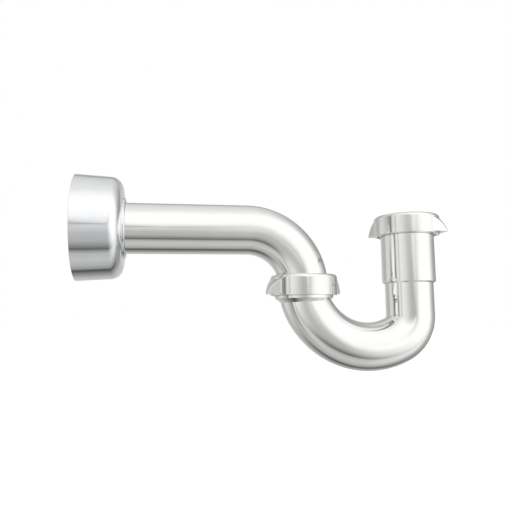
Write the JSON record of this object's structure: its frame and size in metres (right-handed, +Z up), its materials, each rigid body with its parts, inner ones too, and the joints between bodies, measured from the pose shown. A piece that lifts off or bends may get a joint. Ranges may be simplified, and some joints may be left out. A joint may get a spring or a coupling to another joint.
{
  "type": "p trap",
  "caption": "Chromed tubular sink trap: wall tube with deep escutcheon, asymmetric J-bend, winged slip nuts and their washers.",
  "frame": {"origin": "on the wall tube's axis, in the plane of the finished wall where the escutcheon's rim rests", "axes": "+X out of the wall along the wall tube towards the J-bend, +Z up along both slip joints' axes, +Y to the left of someone who looks along +X"},
  "size_m": [0.2855, 0.078, 0.1499],
  "materials": {
    "chromed_tube": "bright chrome plate on polished drawn brass tube",
    "chromed_escutcheon": "bright chrome plate on deep drawn sheet",
    "chromed_ferrule": "bright chrome plate on turned brass",
    "chromed_nut": "bright chrome plate on die-cast zinc",
    "rubber_washer": "matt black moulded rubber",
    "nylon_ring": "natural nylon, stamped flat"
  },
  "bodies": {
    "wall_arm": {"wall_tube": "chromed_tube"},
    "escutcheon": {"wall_escutcheon": "chromed_escutcheon"},
    "trap": {"j_bend": "chromed_tube", "outlet_ferrule": "chromed_ferrule", "inlet_ferrule": "chromed_ferrule", "outlet_washer": "rubber_washer", "inlet_washer": "rubber_washer"},
    "outlet_ring": {"outlet_friction_ring": "nylon_ring"},
    "outlet_nut": {"outlet_slip_nut": "chromed_nut"},
    "inlet_ring": {"inlet_friction_ring": "nylon_ring"},
    "inlet_nut": {"inlet_slip_nut": "chromed_nut"}
  },
  "joints": [
    {"name": "escutcheon_slide", "type": "slide", "parent": "wall_arm", "child": "escutcheon", "axis": [1, 0, 0], "range_m": [0, 0.088]},
    {"name": "trap_swivel", "type": "hinge", "parent": "wall_arm", "child": "trap", "pos_m": [0.171, 0, -0.0428], "axis": [0, 0, 1], "range_deg": [-120, 120]},
    {"name": "outlet_nut_lift", "type": "slide", "parent": "trap", "child": "outlet_ring", "axis": [0, 0, 1], "range_m": [0, 0.00222]},
    {"name": "outlet_nut_turn", "type": "hinge", "parent": "outlet_ring", "child": "outlet_nut", "pos_m": [0.171, 0, -0.0428], "axis": [0, 0, 1], "range_deg": [0, 360]},
    {"name": "inlet_nut_lift", "type": "slide", "parent": "trap", "child": "inlet_ring", "axis": [0, 0, 1], "range_m": [0, 0.00663]},
    {"name": "inlet_nut_turn", "type": "hinge", "parent": "inlet_ring", "child": "inlet_nut", "pos_m": [0.25953, 0, 0.00515], "axis": [0, 0, 1], "range_deg": [0, 1080]}
  ],
  "couplings": [
    {"joint": "outlet_nut_lift", "follows": "outlet_nut_turn", "m_per_rad": 0.00035152},
    {"joint": "inlet_nut_lift", "follows": "inlet_nut_turn", "m_per_rad": 0.00035152}
  ]
}
